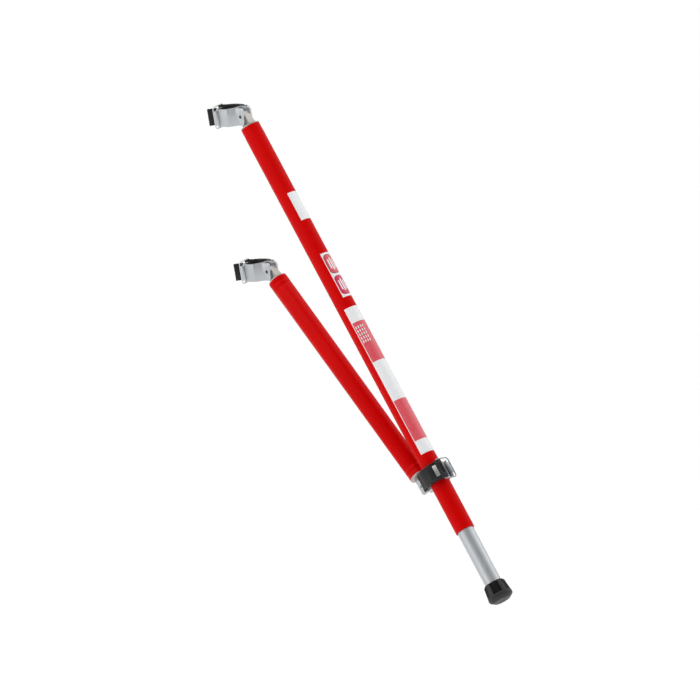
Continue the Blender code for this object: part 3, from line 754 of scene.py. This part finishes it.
def tubes():
    leg_tube()
    plug("leg_plug", "leg", LEG_FRAME, TUBE_TOP)
    grooves = [BRACE_TOP + 12 * MM, BRACE_TOP + 25 * MM, BRACE_END - 25 * MM, BRACE_END - 12 * MM]
    brace_tube = soft_tube(TUBE_R, TUBE_BORE_R, BRACE_TOP, BRACE_END, grooves)
    finished("coated", "brace_tube", brace_tube, "red", "brace", BRACE_FRAME)
    plug("brace_top_plug", "brace", BRACE_FRAME, BRACE_TOP)
    plug("brace_bottom_plug", "brace", BRACE_FOOT_FRAME, BRACE_LENGTH - BRACE_END)
    inner_tube = soft_tube(INNER_R, INNER_BORE_R, INNER_TOP, INNER_END)
    finished("drawn", "inner_tube", inner_tube, "inner", "inner_leg", LEG_FRAME)


def hidden_pieces():
    """The pieces inside the leg keep their CAD shapes and get finished materials."""
    for node, look in (("guide_bush", "nylon"), ("expander_shoe", "nylon"), ("expander_cone", "steel"),
                       ("foot_plug", "nylon")):
        obj = frame["nodes"][node]
        obj.data.materials.clear()
        obj.data.materials.append(MATERIALS[look])


# Stickers: thin curved sheets on the leg tube

def sticker(name, sections, look, lift=SHEET_LIFT, thickness=SHEET_T, steps=28):
    """A sheet on the tube through (station, first angle, second angle) sections."""
    bm = bmesh.new()
    layers = []
    for radius in (TUBE_R + lift, TUBE_R + lift + thickness):
        rows = []
        for station, first, second in sections:
            angles = [first + (second - first) * k / steps for k in range(steps + 1)]
            z = TUBE_TOP + station
            rows.append([bm.verts.new((radius * cos(a), radius * sin(a), z)) for a in angles])
        layers.append(rows)
    inner, outer = layers
    for rows in layers:
        for first, second in zip(rows, rows[1:]):
            for k in range(steps):
                bm.faces.new((first[k], first[k + 1], second[k + 1], second[k]))
    for low, high in ((inner[0], outer[0]), (inner[-1], outer[-1])):
        for k in range(steps):
            bm.faces.new((low[k], low[k + 1], high[k + 1], high[k]))
    for k in (0, -1):
        for i in range(len(sections) - 1):
            bm.faces.new((inner[i][k], inner[i + 1][k], outer[i + 1][k], outer[i][k]))
    piece(name, bm, look, "leg", LEG_FRAME)


def band(name, low, high, start, end, look, steps=28):
    sticker(name, [(low, start, end), (high, start, end)], look, steps=steps)


def pill(name, middle_station, middle_angle, half_length, half_width, look, layer=0):
    """A printed rectangle with round corners, its length along the tube."""
    corner = half_width * 0.7
    sections = []
    count = 8
    for i in range(count + 1):
        a = 0.5 * pi * i / count
        width = half_width - corner + corner * sin(a)
        sections.append((-half_length + corner * (1 - cos(a)), max(width, 0.2 * MM)))
    sections += [(-offset, width) for offset, width in reversed(sections)]
    rows = []
    for offset, width in sections:
        turn = width / TUBE_R
        rows.append((middle_station + offset, middle_angle - turn, middle_angle + turn))
    sticker(name, rows, look, PRINT_LIFT + layer * PRINT_STEP, PRINT_T, steps=10)


def label():
    """A white sheet with two rounded panels, each with a border and three plain bars."""
    band("label_sheet", *LABEL_SPAN, LABEL_START, LABEL_END, "tape_white")
    centre = (LABEL_SPAN[0] + LABEL_SPAN[1]) / 2
    for name, offset, border, face in (("label_panel_upper", -30 * MM, "mark", "tape_red"),
                                       ("label_panel_lower", 30 * MM, "crimson", "crimson")):
        station = centre + offset
        pill(name, station, LABEL_MIDDLE, 27 * MM, 15 * MM, border)
        pill(name + "_face", station, LABEL_MIDDLE, 24.5 * MM, 12.5 * MM, face, layer=1)
        for row in (-1, 0, 1):
            angle = LABEL_MIDDLE + row * radians(15)
            half = (17 - 4 * abs(row)) * MM
            pill(f"{name}_bar_{row + 2}", station, angle, half, 1.9 * MM, "tape_white", layer=2)


def hazard_tape():
    """White and red bands; the red ones stop short of the tape's edge and leave it a white border."""
    for count, (colour, first, last) in enumerate(TAPE_BANDS, 1):
        name = f"hazard_tape_{count}"
        low, high = first * MM, last * MM
        start = TAPE_START - (TAPE_BORDER if colour == "red" else 0)
        band(name, low, high, start, STICKER_END, "tape_" + colour)
        if colour == "red":
            band(name + "_border", low, high, TAPE_START, start + radians(0.3), "tape_white", steps=2)


def tape_dashes():
    """Rows of plain dashes on the first red band."""
    rows, columns = 4, 5
    first_station = (TAPE_BANDS[1][1] + 14) * MM
    for row in range(rows):
        angle = radians(226 - 14 * row)
        for column in range(columns):
            station = first_station + 10 * MM * column
            name = f"tape_dash_{row + 1}_{column + 1}"
            pill(name, station, angle, 3.6 * MM, 1.3 * MM, "tape_white")


def stickers():
    band("reflective_patch", *PATCH_SPAN, STICKER_START, STICKER_END, "tape_white")
    label()
    hazard_tape()
    tape_dashes()


# Studio

def camera():
    """An orthographic camera; returns its backward, rightward and upward directions."""
    level_back = Vector((sin(CAMERA_AZIMUTH), -cos(CAMERA_AZIMUTH), 0))
    back = level_back * cos(CAMERA_ELEVATION) + Vector((0, 0, sin(CAMERA_ELEVATION)))
    level = Vector((cos(CAMERA_AZIMUTH), sin(CAMERA_AZIMUTH), 0))
    upright = back.cross(level)
    up = upright * cos(CAMERA_ROLL) + level * sin(CAMERA_ROLL)
    right = level * cos(CAMERA_ROLL) - upright * sin(CAMERA_ROLL)
    matrix = Matrix((right, up, back)).transposed().to_4x4()
    middle = LEG_PIN + right * PIN_LEFT_OF_MIDDLE - up * PIN_ABOVE_MIDDLE
    matrix.translation = middle + back * CAMERA_DISTANCE
    data = bpy.data.cameras.new("camera")
    data.type = "ORTHO"
    data.ortho_scale = VIEW_WIDTH
    data.clip_end = 100.0
    obj = bpy.data.objects.new("camera", data)
    obj.matrix_world = matrix
    bpy.context.scene.collection.objects.link(obj)
    bpy.context.scene.camera = obj
    return back, right, up


def area_light(name, direction, target, distance, size, power):
    data = bpy.data.lights.new(name, "AREA")
    data.shape = "SQUARE"
    data.size = size
    data.energy = power
    obj = bpy.data.objects.new(name, data)
    obj.location = target + direction.normalized() * distance
    obj.rotation_euler = direction.to_track_quat("Z", "Y").to_euler()
    bpy.context.scene.collection.objects.link(obj)


def surroundings(back, right):
    """A white world whose strength depends on how far each direction is from the camera's axis."""
    world = bpy.data.worlds.new("studio")
    bpy.context.scene.world = world
    world.use_nodes = True
    nodes, links = world.node_tree.nodes, world.node_tree.links
    heading = nodes.new("ShaderNodeTexCoord").outputs["Generated"]
    front = nodes.new("ShaderNodeVectorMath")
    front.operation = "DOT_PRODUCT"
    front.inputs[1].default_value = (back + right * DARK_SIDE).normalized()
    links.new(heading, front.inputs[0])
    glow = nodes.new("ShaderNodeMapRange")
    glow.interpolation_type = "SMOOTHSTEP"
    for socket, value in (("From Min", 0.1), ("From Max", 0.98), ("To Min", WORLD_SIDES),
                          ("To Max", WORLD_FRONT)):
        glow.inputs[socket].default_value = value
    either_way = nodes.new("ShaderNodeMath")
    either_way.operation = "ABSOLUTE"
    links.new(front.outputs["Value"], either_way.inputs[0])
    links.new(either_way.outputs["Value"], glow.inputs["Value"])
    links.new(glow.outputs["Result"], nodes["Background"].inputs["Strength"])
    nodes["Background"].inputs["Color"].default_value = (1.0, 1.0, 1.0, 1)


def floor():
    reach = 60.0
    height = CAD_BOX[0][2] - 0.5
    bm = bmesh.new()
    corners = [(-reach, -reach), (reach, -reach), (reach, reach), (-reach, reach)]
    bm.faces.new([bm.verts.new((x, y, height)) for x, y in corners])
    obj = mesh_object("floor", bm)
    look = Shader("pale_floor", (0.96, 0.96, 0.96), 1.0, Specular_IOR_Level=0.0)
    obj.data.materials.append(look.material)


def studio():
    back, right, up = camera()
    surroundings(back, right)
    middle = (Vector(CAD_BOX[0]) + Vector(CAD_BOX[1])) / 2
    area_light("key", back * 0.5 - right * 0.7 + up * 0.8, middle, distance=3.0, size=2.6, power=12)
    bpy.context.scene.view_settings.view_transform = "Standard"
    floor()


for clamp_name in CLAMP_FRAMES:
    clamp(clamp_name)
tubes()
foot(FOOT_TOP)
foot_tread(FOOT_TOP)
hidden_pieces()
stickers()
studio()
